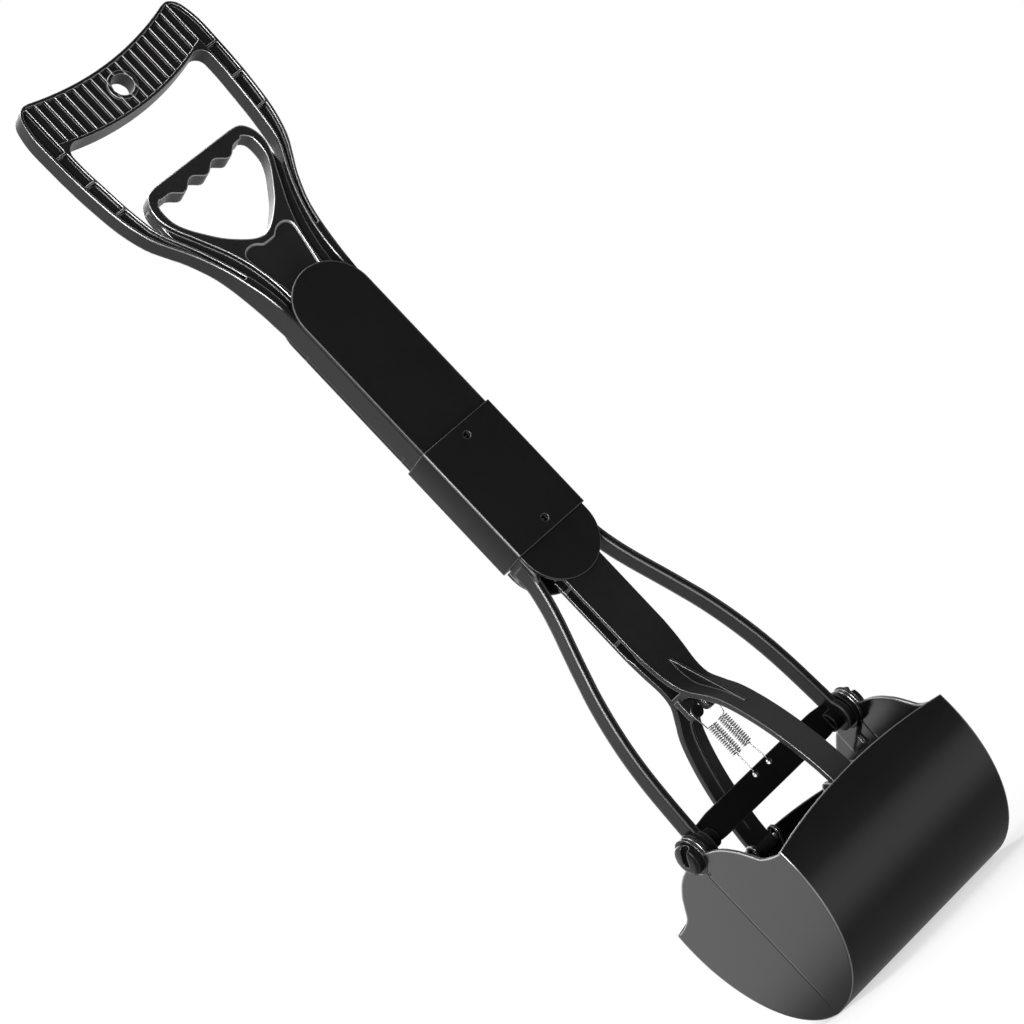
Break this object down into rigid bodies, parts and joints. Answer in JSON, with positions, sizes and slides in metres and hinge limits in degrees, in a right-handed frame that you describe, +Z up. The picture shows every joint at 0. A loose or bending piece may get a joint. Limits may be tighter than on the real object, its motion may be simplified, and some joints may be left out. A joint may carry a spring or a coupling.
{
  "type": "pooper scooper",
  "caption": "Folding jaw scooper: D-grip with a squeeze trigger, lock sleeve over a double hinge, forked lower frame and two hinged bucket jaws.",
  "frame": {"origin": "centre of the hang hole through the grip, halfway through its thickness", "axes": "+Z up along the handle to the grip, +X along the jaw pivots, +Y to the back; the lock sleeve's two detent holes are in front, at -Y"},
  "size_m": [0.1604, 0.1668, 0.7187],
  "materials": {
    "black_plastic": "satin moulded",
    "jaw_plastic": "satin moulded",
    "bright_steel": "bright",
    "strap_webbing": "woven"
  },
  "bodies": {
    "handle": {"handle_frame": "black_plastic", "upper_front_cover": "black_plastic", "upper_back_cover": "black_plastic", "upper_hinge_pin": "bright_steel", "upper_detent_stud": "bright_steel", "cover_screw_1": "bright_steel", "cover_screw_2": "bright_steel", "cover_screw_3": "bright_steel", "cover_screw_4": "bright_steel"},
    "trigger": {"trigger": "black_plastic", "pull_strap": "strap_webbing", "upper_strap_rivet": "bright_steel"},
    "sleeve": {"lock_sleeve": "black_plastic"},
    "link": {"hinge_link": "black_plastic"},
    "lower_frame": {"lower_frame": "black_plastic", "lower_front_cover": "black_plastic", "lower_back_cover": "black_plastic", "lower_detent_stud": "bright_steel", "lower_hinge_pin": "bright_steel", "crossbar": "black_plastic", "left_pivot_bolt": "black_plastic", "right_pivot_bolt": "black_plastic", "left_pivot_spacer": "black_plastic", "right_pivot_spacer": "black_plastic", "cover_screw_5": "bright_steel", "cover_screw_6": "bright_steel"},
    "slider": {"slider": "black_plastic", "front_arm_pin": "bright_steel", "back_arm_pin": "bright_steel", "left_spring_post": "black_plastic", "right_spring_post": "black_plastic", "left_spring": "bright_steel", "right_spring": "bright_steel", "lower_strap_rivet": "bright_steel"},
    "front_jaw": {"front_jaw": "jaw_plastic"},
    "back_jaw": {"back_jaw": "jaw_plastic"}
  },
  "joints": [
    {"name": "trigger_pull", "type": "slide", "parent": "handle", "child": "trigger", "axis": [0, 0, 1], "range_m": [0, 0.032], "stiffness_N_per_m": 450, "springref_m": -0.008},
    {"name": "sleeve_slide", "type": "slide", "parent": "handle", "child": "sleeve", "axis": [0, 0, 1], "range_m": [0, 0.0825]},
    {"name": "upper_fold", "type": "hinge", "parent": "handle", "child": "link", "pos_m": [0, -0.0025, -0.3266], "axis": [1, 0, 0], "range_deg": [0, 23], "deforming": ["pull_strap"]},
    {"name": "lower_fold", "type": "hinge", "parent": "link", "child": "lower_frame", "pos_m": [0, -0.0025, -0.35], "axis": [1, 0, 0], "range_deg": [0, 105]},
    {"name": "slider_slide", "type": "slide", "parent": "lower_frame", "child": "slider", "axis": [0, 0, 1], "range_m": [0, 0.0321], "deforming": ["left_spring", "right_spring"]},
    {"name": "front_jaw_hinge", "type": "hinge", "parent": "lower_frame", "child": "front_jaw", "pos_m": [0, 0, -0.569], "axis": [-1, 0, 0], "range_deg": [0, 26.4]},
    {"name": "back_jaw_hinge", "type": "hinge", "parent": "lower_frame", "child": "back_jaw", "pos_m": [0, 0, -0.569], "axis": [1, 0, 0], "range_deg": [0, 26.4]}
  ],
  "couplings": [
    {"joint": "upper_fold", "follows": "lower_fold", "ratio": 0.2},
    {"joint": "sleeve_slide", "follows": "lower_fold", "m_per_rad": 0.04125},
    {"joint": "slider_slide", "follows": "trigger_pull", "ratio": 1},
    {"joint": "front_jaw_hinge", "follows": "trigger_pull", "rad_per_m": 14.3},
    {"joint": "back_jaw_hinge", "follows": "trigger_pull", "rad_per_m": 14.3}
  ]
}
